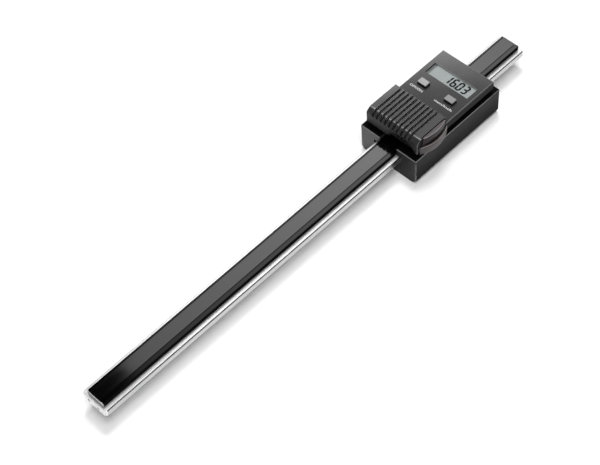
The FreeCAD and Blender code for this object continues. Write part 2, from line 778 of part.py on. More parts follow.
round_edges(cover, cover_pad, "cover_bends", edges_where(cover_pad, cover_bend), bend_radius)
hollow = sketch(cover, "XZ_Plane", "cover_hollow")
roof = cover_top - cover_roof
outline(hollow, [
    (cover_front + wall, case_bottom), (step_x - wall, case_bottom), (step_x - wall, roof),
    (bevel_top + groove_depth, roof), (cover_front + wall + groove_depth, bevel_low - groove_depth),
    (cover_front + wall + groove_depth, groove_end_height),
    (cover_front + wall, groove_end_height - groove_depth),
])
pocket(cover, hollow, "cover_hollow_cut", housing_width - 2 * wall, both_ways=True)
groove_first = groove_middle - (groove_count - 1) * groove_pitch / 2
groove = sketch(cover, "XZ_Plane", "groove_side", -groove_first + groove_width / 2)
outline(groove, [
    (step_x + wall, cover_top + wall), (step_x + wall, cover_top - groove_depth),
    (bevel_top + groove_depth / 2, cover_top - groove_depth),
    (cover_front + groove_depth, bevel_low - groove_depth / 2),
    (cover_front + groove_depth, groove_end_height + groove_depth),
    (cover_front, groove_end_height), (cover_front - wall, groove_end_height),
    (cover_front - wall, cover_top + wall),
])
groove_cut = pocket(cover, groove, "groove_cut", groove_width)
row = cover.newObject("PartDesign::LinearPattern", "groove_row")
row.Originals = [groove_cut]
y_axis = [f for f in cover.Origin.OriginFeatures if f.Role == "Y_Axis"][0]
row.Direction = (y_axis, [""])
bind(row, "Length", (groove_count - 1) * groove_pitch)
bind(row, "Occurrences", groove_count)
cover.Tip = row
arch = sketch(cover, "YZ_Plane", "front_arch", cover_front - wall)
ring(arch, arch_middle_y, arch_middle_z, arch_radius)
pocket(cover, arch, "arch_cut", 2 * wall + part_gap, turned=True)
posts, pilots = bosses("cover", cover_boss_places)
front_reach = front_half + front_gap
front_way = block("cover_front_way", (drawer_x - front_reach, drawer_x + front_reach),
                  (-half_width - wall, -half_width + front_sink + front_gap), (case_bottom, cover_top))
wall_way = block("cover_wall_way", (drawer_x - front_reach, drawer_x + front_reach),
                 (-half_width, -half_width + wall), (case_bottom, roof))
tray_reach = tray_half + drawer_gap
tray_way = block("cover_tray_way", (drawer_x - tray_reach, step_x + part_gap),
                 (-half_width, bay_back), (case_bottom, bay_top))
cover_lead_way = block("cover_lead_way", (step_x - wall, step_x),
                       (cell_y - contact_width / 2 - lead_gap, plus_far_y + lead_gap),
                       (contact_level - lead_gap, contact_level + contact_sheet + lead_gap))
cover_whole = fuse("cover_posts", [cover] + posts)
node("ribbed_cover", cut("cover_cut", cover_whole, pilots + [front_way, wall_way, tray_way, cover_lead_way]))

# Battery drawer: tray for the coin cell, bulged front, and a wider lip below it across a fingernail slot
tray_box = block("tray_box", (drawer_x - tray_half, drawer_x + tray_half), (-half_width, cell_y),
                 (drawer_bottom, drawer_bottom + tray_height))
tray_round = rod("tray_round", "z", (drawer_x, cell_y, drawer_bottom), tray_half, tray_height)
tray_pocket = rod("tray_pocket", "z", (drawer_x, cell_y, cell_bottom), cell_radius + cell_gap, tray_height)
tab_half = contact_width / 2 + tab_side_gap
tab_way = block("tab_way", (drawer_x - tab_half, drawer_x + tab_half),
                (cell_y, cell_y + tray_half + wall), (cell_bottom, bay_top))
tray = cut("tray_cut", fuse("tray_whole", [tray_box, tray_round]), [tray_pocket, tab_way])
front_outer = -half_width
front_plate = block("front_plate", (drawer_x - front_half, drawer_x + front_half),
                    (front_outer, front_outer + front_wall), (cell_bottom, roof - drawer_gap))
front_sheet = block("front_sheet", (drawer_x - front_half, drawer_x + front_half),
                    (front_outer - front_proud, front_outer + front_sink), (front_bottom, front_top))
front_round = rod("front_round", "z", (drawer_x, front_middle_y, front_bottom), front_radius,
                  front_top - front_bottom)
front_limit = block("front_limit", (drawer_x - front_half, drawer_x + front_half),
                    (front_outer - lip_bulge, front_outer - front_proud), (front_bottom, front_top))
front_swell = common("front_swell", [front_round, front_limit])
lip_outer = rod("lip_outer", "z", (drawer_x, lip_middle_y, drawer_bottom), lip_radius, lip_height)
lip_inner = rod("lip_inner", "z", (drawer_x, lip_middle_y, cell_bottom), lip_radius - lip_wall, lip_height)
lip_limit = block("lip_limit", (drawer_x - lip_half, drawer_x + lip_half),
                  (front_outer - lip_bulge - wall, front_outer), (drawer_bottom, lip_top))
lip = common("lip_shell", [cut("lip_ring", lip_outer, [lip_inner]), lip_limit])
node("battery_drawer", fuse("drawer_whole", [tray, front_plate, front_sheet, front_swell, lip]))
node("coin_cell", rod("cell", "z", (drawer_x, cell_y, cell_bottom), cell_radius, cell_height))

# Battery contacts: flat springs from the board to the top of the cell and to its rim
lead_far = board_near + contact_reach
minus_strip = block("minus_strip", (drawer_x, lead_far),
                    (cell_y - contact_width / 2, cell_y + contact_width / 2),
                    (contact_level, contact_level + contact_sheet))
minus_leg = block("minus_leg", (lead_far - contact_sheet, lead_far),
                  (cell_y - contact_width / 2, cell_y + contact_width / 2), (board_top, contact_level))
node("contact_minus", fuse("minus_whole", [minus_strip, minus_leg]))
plus_strip = block("plus_strip", (drawer_x - contact_width / 2, lead_far), (plus_near_y, plus_far_y),
                   (contact_level, contact_level + contact_sheet))
plus_leg = block("plus_leg", (lead_far - contact_sheet, lead_far), (plus_near_y, plus_far_y),
                 (board_top, contact_level))
plus_tab = block("plus_tab", (drawer_x - contact_width / 2, drawer_x + contact_width / 2),
                 (plus_near_y, plus_near_y + contact_sheet), (cell_bottom + tab_bottom_lift, contact_level))
node("contact_plus", fuse("plus_whole", [plus_strip, plus_leg, plus_tab]))

# Data port behind the arch: a plate on the back of the front wall with four contact pads
port_back = cover_front + wall + port_depth
port_low = case_bottom
node("port_plate", block("port", (cover_front + wall, port_back),
                         (-half_width + wall + part_gap, arch_middle_y + arch_radius),
                         (port_low, port_low + port_height)))
pads = []
for i in range(pad_count.number):
    middle = arch_middle_y + (i - (pad_count - 1) / 2) * pad_pitch
    pads.append(block("port_pad_%d" % i, (cover_front + wall - pad_sheet, cover_front + wall),
                      (middle - pad_width / 2, middle + pad_width / 2),
                      (port_low + pad_lift, port_low + pad_lift + pad_height)))
node("port_contacts", group("port_pad_row", pads))

doc.recompute()
for thing in doc.Objects:
    if "Invalid" in thing.State or "Error" in thing.State:
        raise RuntimeError("not built: " + thing.Label + " " + str(thing.State))
os.makedirs("parts", exist_ok=True)
for name, thing in nodes:
    shape = thing.Shape
    if shape.isNull() or not shape.isValid():
        raise RuntimeError("bad shape: " + name)
    shape.exportStep("parts/" + name + ".step")
    box = shape.BoundBox
    print("%-16s solids %d volume %9.1f  x %.2f %.2f  y %.2f %.2f  z %.2f %.2f" % (
        name, len(shape.Solids), shape.Volume, box.XMin, box.XMax, box.YMin, box.YMax, box.ZMin, box.ZMax))
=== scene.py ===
import json
import math

import bmesh
import bpy
from mathutils import Matrix, Vector


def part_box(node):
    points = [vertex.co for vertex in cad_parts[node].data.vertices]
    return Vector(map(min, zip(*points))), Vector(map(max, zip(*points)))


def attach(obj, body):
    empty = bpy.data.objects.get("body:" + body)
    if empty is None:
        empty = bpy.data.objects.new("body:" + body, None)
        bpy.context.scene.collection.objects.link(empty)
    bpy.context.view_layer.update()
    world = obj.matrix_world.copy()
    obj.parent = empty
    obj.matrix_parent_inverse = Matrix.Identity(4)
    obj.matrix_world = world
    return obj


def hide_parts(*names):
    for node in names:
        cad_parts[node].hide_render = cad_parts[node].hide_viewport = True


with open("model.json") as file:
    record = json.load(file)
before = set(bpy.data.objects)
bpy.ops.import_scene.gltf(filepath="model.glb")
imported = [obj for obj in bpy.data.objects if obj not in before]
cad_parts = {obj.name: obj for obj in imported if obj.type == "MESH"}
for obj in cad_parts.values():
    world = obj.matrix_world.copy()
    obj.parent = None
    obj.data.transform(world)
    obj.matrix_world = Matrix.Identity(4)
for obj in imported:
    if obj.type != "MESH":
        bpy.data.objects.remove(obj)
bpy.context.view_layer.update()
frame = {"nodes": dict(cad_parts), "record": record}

MM = 0.001
solids = frame["nodes"]
scene = bpy.context.scene


# Camera at the photograph's angle
view = bpy.data.cameras.new("photo_view")
view.sensor_fit = "HORIZONTAL"
view.sensor_width = 36.0
view.lens = 89.867
camera = bpy.data.objects.new("photo_view", view)
camera.location = (-0.46213, -0.39719, 0.72169)
camera.rotation_euler = [math.radians(a) for a in (36.3076, 3.4190, -45.6803)]
scene.collection.objects.link(camera)
scene.camera = camera
scene.view_settings.view_transform = "Standard"
scene.view_settings.look = "None"


# Most of a noise lies between these two values
NOISE_LOW = 0.3
NOISE_HIGH = 0.7
# A new colour ramp comes with this many points
RAMP_POINTS = 2


class Finish:
    """A node material, with short calls for the nodes that its detail is made of."""

    def __init__(self, name, **sockets):
        self.material = bpy.data.materials.new(name)
        self.material.use_nodes = True
        self.tree = self.material.node_tree
        self.shader = self.tree.nodes["Principled BSDF"]
        self.place = self.node("ShaderNodeTexCoord").outputs["Object"]
        for socket, value in sockets.items():
            self.shader.inputs[socket.replace("_", " ")].default_value = value

    def node(self, kind, **fields):
        made = self.tree.nodes.new(kind)
        for field, value in fields.items():
            setattr(made, field, value)
        return made

    def feed(self, socket, value):
        """Links a socket to another node's socket, or sets it to a plain value."""
        if isinstance(value, bpy.types.NodeSocket):
            self.tree.links.new(value, socket)
        else:
            socket.default_value = value

    def along(self, axis):
        """The place on the piece along one axis, in metres."""
        split = self.node("ShaderNodeSeparateXYZ")
        self.feed(split.inputs[0], self.place)
        return split.outputs[axis]

    def counted(self, *counts):
        """The place on the piece, counted so many times to the metre: one count for all axes, or three."""
        mapping = self.node("ShaderNodeMapping")
        self.feed(mapping.inputs["Vector"], self.place)
        mapping.inputs["Scale"].default_value = counts if len(counts) == 3 else counts * 3
        return mapping.outputs["Vector"]

    def grain(self, *counts, detail=3.0):
        """Noise with so many grains to the metre."""
        noise = self.node("ShaderNodeTexNoise")
        self.feed(noise.inputs["Vector"], self.counted(*counts))
        noise.inputs["Scale"].default_value = 1.0
        noise.inputs["Detail"].default_value = detail
        noise.inputs["Roughness"].default_value = 0.55
        return noise.outputs["Fac"]

    def cells(self, *counts):
        """Distance to the nearest of so many spots to the metre."""
        spots = self.node("ShaderNodeTexVoronoi")
        self.feed(spots.inputs["Vector"], self.counted(*counts))
        spots.inputs["Scale"].default_value = 1.0
        return spots.outputs["Distance"]

    def math(self, kind, a, b=0.0):
        made = self.node("ShaderNodeMath", operation=kind)
        self.feed(made.inputs[0], a)
        self.feed(made.inputs[1], b)
        return made.outputs[0]

    def between(self, axis, low, high):
        """1 between two places along an axis, in millimetres, and 0 outside them."""
        place = self.along(axis)
        above = self.math("GREATER_THAN", place, low * MM)
        below = self.math("LESS_THAN", place, high * MM)
        return self.math("MULTIPLY", above, below)

    def spread(self, value, low, high, to_low, to_high):
        """A value between low and high, spread smoothly between two other numbers."""
        spread = self.node("ShaderNodeMapRange", interpolation_type="SMOOTHSTEP")
        for socket, number in zip(spread.inputs, (value, low, high, to_low, to_high)):
            self.feed(socket, number)
        return spread.outputs["Result"]

    def shades(self, value, *stops):
        """Colours along a value from 0 to 1: pairs of a place and a colour."""
        ramp = self.node("ShaderNodeValToRGB")
        self.feed(ramp.inputs["Fac"], value)
        points = ramp.color_ramp.elements
        for i, (at, colour) in enumerate(stops):
            point = points[i] if i < RAMP_POINTS else points.new(at)
            point.position = at
            point.color = (*colour, 1.0)
        return ramp.outputs["Color"]

    def tones(self, grain, dark, light):
        """Two colours that follow a grain."""
        return self.shades(grain, (NOISE_LOW, dark), (NOISE_HIGH, light))

    def mixed(self, factor, a, b):
        mix = self.node("ShaderNodeMix", data_type="RGBA")
        self.feed(mix.inputs["Factor"], factor)
        self.feed(mix.inputs["A"], a)
        self.feed(mix.inputs["B"], b)
        return mix.outputs["Result"]

    def colour(self, value):
        self.feed(self.shader.inputs["Base Color"], value)

    def roughness(self, grain, low, high):
        """Roughness that follows a grain."""
        self.feed(self.shader.inputs["Roughness"], self.spread(grain, NOISE_LOW, NOISE_HIGH, low, high))

    def bump(self, height, depth):
        """Relief as deep as so many millimetres."""
        bump = self.node("ShaderNodeBump")
        self.feed(bump.inputs["Height"], height)
        bump.inputs["Distance"].default_value = depth * MM
        self.feed(self.shader.inputs["Normal"], bump.outputs["Normal"])

    def sheen(self, place, *stops):
        """Shine that changes along a place on the piece: pairs of millimetres and a shine."""
        low = stops[0][0]
        reach = stops[-1][0] - low
        along = self.math("DIVIDE", self.math("SUBTRACT", place, low * MM), reach * MM)
        tones = self.shades(along, *[((at - low) / reach, (shine,) * 3) for at, shine in stops])
        socket = self.shader.inputs["Specular IOR Level"]
        socket.default_value = sum(shine for _, shine in stops) / len(stops)
        self.feed(socket, tones)


PLAIN_TINT = (1.0, 1.0, 1.0)
BRASS_TINT = (1.0, 0.74, 0.32)
DRAWER_TINT = (1.14, 0.93, 0.99)
FACE_TINT = (1.25, 0.86, 0.98)
LIP_TINT = (1.1, 0.95, 0.97)


def grey(level, tint=PLAIN_TINT):
    return [level * part for part in tint]


def moulded(name, dark, light, tint=PLAIN_TINT, rough=(0.42, 0.6), pit=0.02, shine=0.5,
            polish=None, far=None, highlight_line=None):
    """Moulded plastic: fine spark-eroded texture, with broad faint patches of tone.

    A polish is a shine that changes from the near right to the far left.
    A far tone is painted light and shade: the plastic fades from its own tone to a lighter one between two
    places along the part.
    A highlight line is a painted highlight across it: its place along the part, its half width and its
    tone.
    """
    finish = Finish(name, Specular_IOR_Level=shine)
    patches = finish.grain(90, detail=4.0)
    tone = finish.tones(patches, grey(dark, tint), grey(light, tint))
    if far:
        from_x, to_x, lit_level, lit_tint = far
        painted_light_fade = finish.spread(finish.along("X"), from_x * MM, to_x * MM, 0.0, 1.0)
        tone = finish.mixed(painted_light_fade, tone, (*grey(lit_level, lit_tint), 1.0))
    if highlight_line:
        at, half_width, highlight_tone = highlight_line
        from_highlight_line = finish.math("ABSOLUTE", finish.math("SUBTRACT", finish.along("X"), at * MM))
        painted_light_fade = finish.spread(from_highlight_line, 0.0, half_width * MM, 1.0, 0.0)
        tone = finish.mixed(painted_light_fade, tone, (*grey(highlight_tone, tint), 1.0))
    finish.colour(tone)
    speckle = finish.grain(4200, detail=2.0)
    finish.roughness(speckle, *rough)
    finish.bump(speckle, pit)
    if polish:
        finish.sheen(finish.math("ADD", finish.along("X"), finish.along("Y")), *polish)
    return finish.material


def edge_wear_and_painted_light(name, level, tint, *zones):
    """Edge with fine wear in its grain, and painted highlights and painted shade: lighter or darker in
    some zones.

    A zone is a level and its limits, each of them an axis and two places on it.
    """
    finish = Finish(name, Specular_IOR_Level=0.3)
    wear = finish.grain(800)
    tone = finish.tones(wear, grey(0.8 * level, tint), grey(level, tint))
    for zone_level, *limits in zones:
        inside = 1.0
        for limit in limits:
            inside = finish.math("MULTIPLY", finish.between(*limit), inside)
        zone_tone = finish.tones(wear, grey(0.8 * zone_level, tint), grey(zone_level, tint))
        tone = finish.mixed(inside, tone, zone_tone)
    finish.colour(tone)
    finish.roughness(wear, 0.4, 0.55)
    return finish.material


def drawn_metal(name, dark, light, rough, metal=1.0):
    """Metal drawn along the beam: long fine streaks in tone and gloss."""
    finish = Finish(name, Metallic=metal, Specular_IOR_Level=0.5)
    streaks = finish.grain(12, 2600, 2600, detail=4.0)
    finish.colour(finish.tones(streaks, grey(dark), grey(light)))
    finish.roughness(streaks, *rough)
    finish.bump(streaks, 0.004)
    return finish.material


def anodised(name, dark, light, rough, axis, *sheen):
    """Black anodised metal: an even blasted grain under a satin sheen that changes along one axis."""
    finish = Finish(name)
    finish.sheen(finish.along(axis), *sheen)
    clouds = finish.grain(60)
    finish.colour(finish.tones(clouds, grey(dark), grey(light)))
    blast = finish.grain(3000)
    finish.roughness(blast, *rough)
    finish.bump(blast, 0.008)
    return finish.material


def gloss_film(name, level, rough, *sheen):
    """Glossy dark film: almost a mirror, duller to its near end, with faint wipe marks along it."""
    finish = Finish(name)
    finish.sheen(finish.along("X"), *sheen)
    wipes = finish.grain(30, 400, 400)
    finish.colour(finish.tones(wipes, grey(level), grey(1.6 * level)))
    finish.roughness(wipes, *rough)
    return finish.material


def turned_steel(name, level, rough, metal=1.0):
    """Steel with fine rings from the lathe."""
    finish = Finish(name, Metallic=metal)
    rings = finish.grain(1500, 1500, 6000)
    finish.colour(finish.tones(rings, grey(0.8 * level), grey(level)))
    finish.roughness(rings, *rough)
    finish.bump(rings, 0.006)
    return finish.material


def spring_brass(name, level):
    """Brass, a little tarnished in places."""
    finish = Finish(name, Metallic=1.0)
    wear = finish.grain(700, detail=4.0)
    finish.colour(finish.tones(wear, grey(0.7 * level, BRASS_TINT), grey(level, BRASS_TINT)))
    finish.roughness(wear, 0.22, 0.4)
    return finish.material


# A painted shade darkens the display glass between these two places, at its blank left end
SHADE_FROM = 14.2
SHADE_TO = 15.4


def display_face():
    """Reflective liquid crystal glass: grey-green with a faint grain, with a painted shade at its blank
    left end.
    """
    finish = Finish("display_face", Specular_IOR_Level=0.3)
    grain = finish.grain(2500, detail=2.0)
    tone = finish.tones(grain, (0.28, 0.313, 0.309), (0.295, 0.327, 0.322))
    left_end_shade = finish.spread(finish.along("Y"), SHADE_FROM * MM, SHADE_TO * MM, 0.0, 1.0)
    finish.colour(finish.mixed(left_end_shade, tone, (0.085, 0.095, 0.092, 1.0)))
    finish.roughness(grain, 0.35, 0.5)
    return finish.material


def clear_window():
    """Clear plastic, dull enough to show no glare, with faint smears."""
    finish = Finish("clear_window", Alpha=0.05, Base_Color=(0.05, 0.06, 0.06, 1.0),
                    Specular_IOR_Level=0.15)
    finish.roughness(finish.grain(200), 0.1, 0.2)
    return finish.material


def solder_mask():
    """Green board, paler over its copper."""
    finish = Finish("solder_mask", Specular_IOR_Level=0.5)
    copper = finish.cells(600)
    finish.colour(finish.shades(copper, (0.2, (0.01, 0.07, 0.03)), (0.5, (0.02, 0.12, 0.05))))
    finish.feed(finish.shader.inputs["Roughness"], finish.spread(copper, 0.0, 0.6, 0.3, 0.45))
    return finish.material


def layered_rubber():
    """Rubber connector with thin dark conducting layers along its length."""
    finish = Finish("layered_rubber")
    layers = finish.grain(20, 9000, 20, detail=1.0)
    finish.colour(finish.shades(layers, (0.45, (0.05, 0.05, 0.05)), (0.55, (0.5, 0.42, 0.38))))
    finish.roughness(layers, 0.6, 0.8)
    return finish.material


def printed(name, level, shine):
    """Thin print or display ink, slightly uneven in tone."""
    finish = Finish(name, Specular_IOR_Level=shine)
    ink = finish.grain(3000, detail=2.0)
    finish.colour(finish.tones(ink, grey(0.8 * level), grey(level)))
    finish.roughness(ink, 0.5, 0.7)
    return finish.material


def pale_floor():
    finish = Finish("pale_floor")
    drift = finish.grain(3, detail=2.0)
    finish.colour(finish.tones(drift, grey(0.9), grey(0.93)))
    finish.roughness(drift, 0.85, 0.95)
    return finish.material


# Finishes of the beam
RAIL = drawn_metal("rail_metal", 0.46, 0.585, (0.22, 0.32))
# Painted shade: the ledge's top faces, darker than the rail's sides though of the same drawn metal
LEDGE_SHADE = drawn_metal("rail_ledge_shade", 0.315, 0.405, (0.25, 0.35), metal=0.5)
# Painted shade: a darker copy of the rail metal for its long bevels; its low roughness also mirrors the
# dark surroundings
RIM_SHADE = drawn_metal("rail_rim", 0.2, 0.3, (0.12, 0.18))
CUT_END = turned_steel("cut_end", 0.98, (0.35, 0.5), metal=0.35)
COAT = gloss_film("carrier_coat", 0.0005, (0.08, 0.11),
                  (-276, 0.035), (-189, 0.105), (-49, 0.21), (77, 0.21))
COAT_SIDE = moulded("carrier_side", 0.0005, 0.001, rough=(0.5, 0.6), shine=0.02)
FILM = gloss_film("strip_film", 0.0005, (0.06, 0.085),
                  (-276, 0.195), (-139, 0.345), (-49, 0.455), (77, 0.32))

# Finishes of the slider's base
BASE = anodised("base_anodised", 0.014, 0.02, (0.24, 0.32), "Y",
                (-23, 0.09), (-11, 0.07), (11, 0.41), (23, 0.41))
BASE_SIDE = anodised("base_side", 0.019, 0.025, (0.3, 0.4), "Z",
                     (2, 0.0), (10, 0.01), (18, 0.034), (21, 0.034))
# Painted shade: near black on the base's faces that look up, where the housing shades them
BASE_TOP_SHADE = anodised("base_top_shade", 0.001, 0.002, (0.5, 0.6), "Y", (-23, 0.015), (23, 0.015))
# Bare aluminium on the base's broken edges, lightened further as painted highlights, with painted shade
# darkening them along the top and at the far end
BASE_EDGE = edge_wear_and_painted_light("base_edge", 0.9, PLAIN_TINT, (0.16, ("Z", 19, 22)), (0.1, ("X", 30, 40)))

# Finishes of the housing, the cover, the drawer and the buttons
HOUSING = moulded("housing_plastic", 0.018, 0.022, shine=0.05)
FASCIA = moulded("fascia_plastic", 0.017, 0.023, rough=(0.24, 0.32),
                 polish=((-29, 0.07), (8, 0.135), (32, 0.3), (55, 0.56)))
# Painted highlight: the fascia's broken edges, far lighter than its black plastic
FASCIA_EDGE_HIGHLIGHT = moulded("fascia_edge", 0.14, 0.18)
# Painted light: the far wall of the display's opening, pale grey though it is the fascia's black plastic
OPENING_WALL_LIGHT = moulded("opening_wall_light", 0.4, 0.46)
# A painted highlight line runs across the cover's rib crests where the front bevel starts
COVER = moulded("cover_plastic", 0.022, 0.028, rough=(0.28, 0.36),
                polish=((-56, 0.145), (-30, 0.17), (-5, 0.255), (11, 0.455)),
                highlight_line=(-32.2, 0.7, 0.2))
# Painted shade: the cover's upright sides, darker than its top though of the same plastic
COVER_SIDE_SHADE = moulded("cover_side_shade", 0.012, 0.016, rough=(0.4, 0.5), shine=0.25)
# Painted shade: near black for the cover's grooves, the faces round the drawer and the drawer's near end
GROOVE_SHADE = moulded("cover_groove_shade", 0.002, 0.004, rough=(0.5, 0.6), shine=0.1)
# Painted highlights on the cover's broken edges: lit along the rib crests, brightest at the near right
# corner, dark elsewhere
COVER_EDGE_HIGHLIGHT = edge_wear_and_painted_light("cover_edge", 0.01, PLAIN_TINT,
                       (0.4, ("Y", -17.6, 21)),
                       (0.1, ("X", -40, -33.4), ("Y", -17.6, 21)),
                       (0.9, ("X", -40, -33.4), ("Y", -25, -17.6)))
DRAWER = moulded("drawer_plastic", 0.025, 0.034, DRAWER_TINT, rough=(0.35, 0.45), shine=0.25)
# Painted shade and light: the drawer's front and lip are dark at the near end and lighten to the far end
DRAWER_FACE = moulded("drawer_face", 0.019, 0.027, FACE_TINT, rough=(0.4, 0.5), shine=0.1,
                      far=(-31, -10, 0.068, PLAIN_TINT))
DRAWER_LIP = moulded("drawer_lip", 0.055, 0.07, LIP_TINT, rough=(0.4, 0.5), shine=0.25,
                     far=(-30, -10, 0.09, LIP_TINT))
# Painted highlight along the lip's edges, and painted shade on the edges at the drawer's near end
DRAWER_EDGE_LIGHT_AND_SHADE = edge_wear_and_painted_light("drawer_edge", 0.02, LIP_TINT,
                        (0.4, ("Y", -25, -20.9)),
                        (0.02, ("X", -40, -30.3), ("Z", 28.2, 35)))
BUTTON = moulded("button_plastic", 0.212, 0.25, rough=(0.35, 0.5), pit=0.01,
                 polish=((-12, 0.05), (-3, 0.1), (10, 0.55), (20, 0.6)))
BUTTON_SIDE = moulded("button_side", 0.008, 0.012, shine=0.2)

# Finishes of the small and the inner pieces
STEEL = turned_steel("screw_steel", 0.55, (0.3, 0.45))
CELL = turned_steel("cell_steel", 0.75, (0.18, 0.3))
BRASS = spring_brass("spring_brass", 0.8)
# Painted shade: brass darkened near black for the gib strip and the port contacts, which sit in shade
SHADED_BRASS = spring_brass("brass_shade", 0.05)
DISPLAY = display_face()
WINDOW = clear_window()
BOARD = solder_mask()
RUBBER = layered_rubber()
CHIP = moulded("chip_plastic", 0.014, 0.02)
INK = printed("display_ink", 0.001, 0.05)
WHITE_PRINT = printed("white_print", 0.6, 0.5)

# Solids that keep their own shape
PLAIN_SOLIDS = {
    "scale_strip": FILM,
    "gib_strip": SHADED_BRASS, "gib_screws": STEEL,
    "plate_screws": STEEL, "case_screws": STEEL,
    "display_window": WINDOW, "lcd_panel": DISPLAY, "lcd_connectors": RUBBER,
    "main_board": BOARD, "main_chip": CHIP, "key_switches": STEEL,
    "read_head": BOARD, "head_pins": BRASS,
    "coin_cell": CELL, "contact_minus": BRASS, "contact_plus": BRASS,
    "port_plate": HOUSING, "port_contacts": SHADED_BRASS,
}
for name, finish in PLAIN_SOLIDS.items():
    for place in solids[name].material_slots:
        place.material = finish


def add(name, mesh, body):
    """A finished piece at the origin, riding on its body."""
    piece = bpy.data.objects.new(name, mesh)
    scene.collection.objects.link(piece)
    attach(piece, body)
    return piece


def as_mesh(thing, name):
    """The plain mesh that an object comes to once its modifiers or its curve are worked out."""
    bpy.context.view_layer.update()
    graph = bpy.context.evaluated_depsgraph_get()
    mesh = bpy.data.meshes.new_from_object(thing.evaluated_get(graph), depsgraph=graph)
    mesh.name = name
    return mesh


# Millimetres within which two points are one
SAME_POINT = 0.001
# Degrees within which two faces are one, and past which the edge between them is sharp
FLAT_ANGLE = 0.6
SHARP_ANGLE = 35


def softened(node, body, finishes, edge, choose=None, edge_wear_and_light=None):
    """A copy of a solid with its sharp edges broken, which stands for the solid.

    Where there are several finishes, choose(normal, middle) says which of them a face has.
    The broken edges may have a finish of their own, of wear with painted highlights and shade, counted
    after the others.
    """
    shape = bmesh.new()
    shape.from_mesh(solids[node].data)
    bmesh.ops.remove_doubles(shape, verts=shape.verts, dist=SAME_POINT * MM)
    bmesh.ops.dissolve_limit(shape, angle_limit=math.radians(FLAT_ANGLE),
                             verts=shape.verts, edges=shape.edges)
    for face in shape.faces:
        face.material_index = choose(face.normal, face.calc_center_median()) if choose else 0
    mesh = bpy.data.meshes.new(node)
    shape.to_mesh(mesh)
    shape.free()
    draft = bpy.data.objects.new(node + "_draft", mesh)
    scene.collection.objects.link(draft)
    for material in finishes:
        mesh.materials.append(material)
    bevel = draft.modifiers.new("broken_edges", "BEVEL")
    bevel.width = edge * MM
    bevel.segments = 2
    bevel.limit_method = "ANGLE"
    bevel.angle_limit = math.radians(SHARP_ANGLE)
    bevel.harden_normals = True
    if edge_wear_and_light:
        mesh.materials.append(edge_wear_and_light)
        bevel.material = len(finishes)
    finished = as_mesh(draft, node + "_soft")
    bpy.data.objects.remove(draft)
    piece = add(node + "_soft", finished, body)
    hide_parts(node)


# How far a face's normal reaches along an axis where the face looks, or only leans, that way
LOOKS = 0.9
LEANS = 0.3
LEDGE_LOOKS = 0.95
ROUND_END_LEANS = 0.1
DRAWER_END_LOOKS = 0.7
WALL_LOOKS = 0.5


def rail_face(normal, middle):
    """0 for the sides, 1 for the ledge, painted darker than the sides as shade, 2 for the long bevels
    beside it, painted darker still as shade, and 3 for the cut ends.
    """
    if normal.z > LEDGE_LOOKS:
        return 1
    if abs(normal.x) > ROUND_END_LEANS:
        return 3
    return 2 if normal.z > LEANS else 0


def carrier_face(normal, middle):
    """0 for the coated top, 1 for the sides and 2 for the cut ends."""
    if abs(normal.x) > LOOKS:
        return 2
    return 1 if abs(normal.y) > LOOKS else 0


def base_face(normal, middle):
    """0 for the ends, 1 for faces that look up, painted in shade, 2 for the long sides and 3 for the upper
    bevels, of bare metal with painted highlights.
    """
    if normal.z > LOOKS:
        return 1
    if normal.z > LEANS:
        return 3
    return 2 if abs(normal.y) > LOOKS else 0


GROOVE_PITCH = 3.25
GROOVE_WIDTH = 1.7
GROOVE_MIDDLE = 0.9
GROOVE_COUNT = 10
GROOVE_REACH = 0.51 * GROOVE_WIDTH
GROOVE_LOW = 30.6
DRAWER_GAP_X = -34.0
DRAWER_GAP_Y = -17.5


def cover_face(normal, middle):
    """0 for the top and the bevel, 1 for the upright sides, painted darker as shade, 2 for the grooves and
    round the drawer, painted near black as shade.
    """
    x, y, z = middle / MM
    across = (y - GROOVE_MIDDLE) / GROOVE_PITCH + GROOVE_COUNT / 2
    from_groove = abs(across % 1 - 0.5) * GROOVE_PITCH
    if 0 < across < GROOVE_COUNT and from_groove < GROOVE_REACH and z > GROOVE_LOW:
        return 2
    beside_drawer = x > DRAWER_GAP_X or normal.y < -WALL_LOOKS
    if y < DRAWER_GAP_Y and beside_drawer and normal.z < LEANS:
        return 2
    return 1 if normal.z < LEANS else 0


LIP_TOP = 27.55


def drawer_face(normal, middle):
    """1 for the upright faces of the front, 2 for those of the lip, both painted darker to the near end as
    shade, 3 for the near end, painted near black as shade, 0 for the rest.
    """
    if abs(normal.z) > LEANS:
        return 0
    if normal.x < -DRAWER_END_LOOKS:
        return 3
    return 2 if middle.z / MM < LIP_TOP else 1


display_low, display_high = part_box("lcd_panel")


def fascia_face(normal, middle):
    """0 for the top, 1 for the upright sides and 2 for the far wall of the display's opening, painted
    light.
    """
    if abs(normal.z) > LEANS:
        return 0
    over_display = display_low[0] < middle.x < display_high[0]
    return 2 if normal.x < -WALL_LOOKS and over_display else 1


def upright_face(normal, middle):
    """1 for upright faces, 0 for the rest."""
    return 1 if abs(normal.z) < LEANS else 0


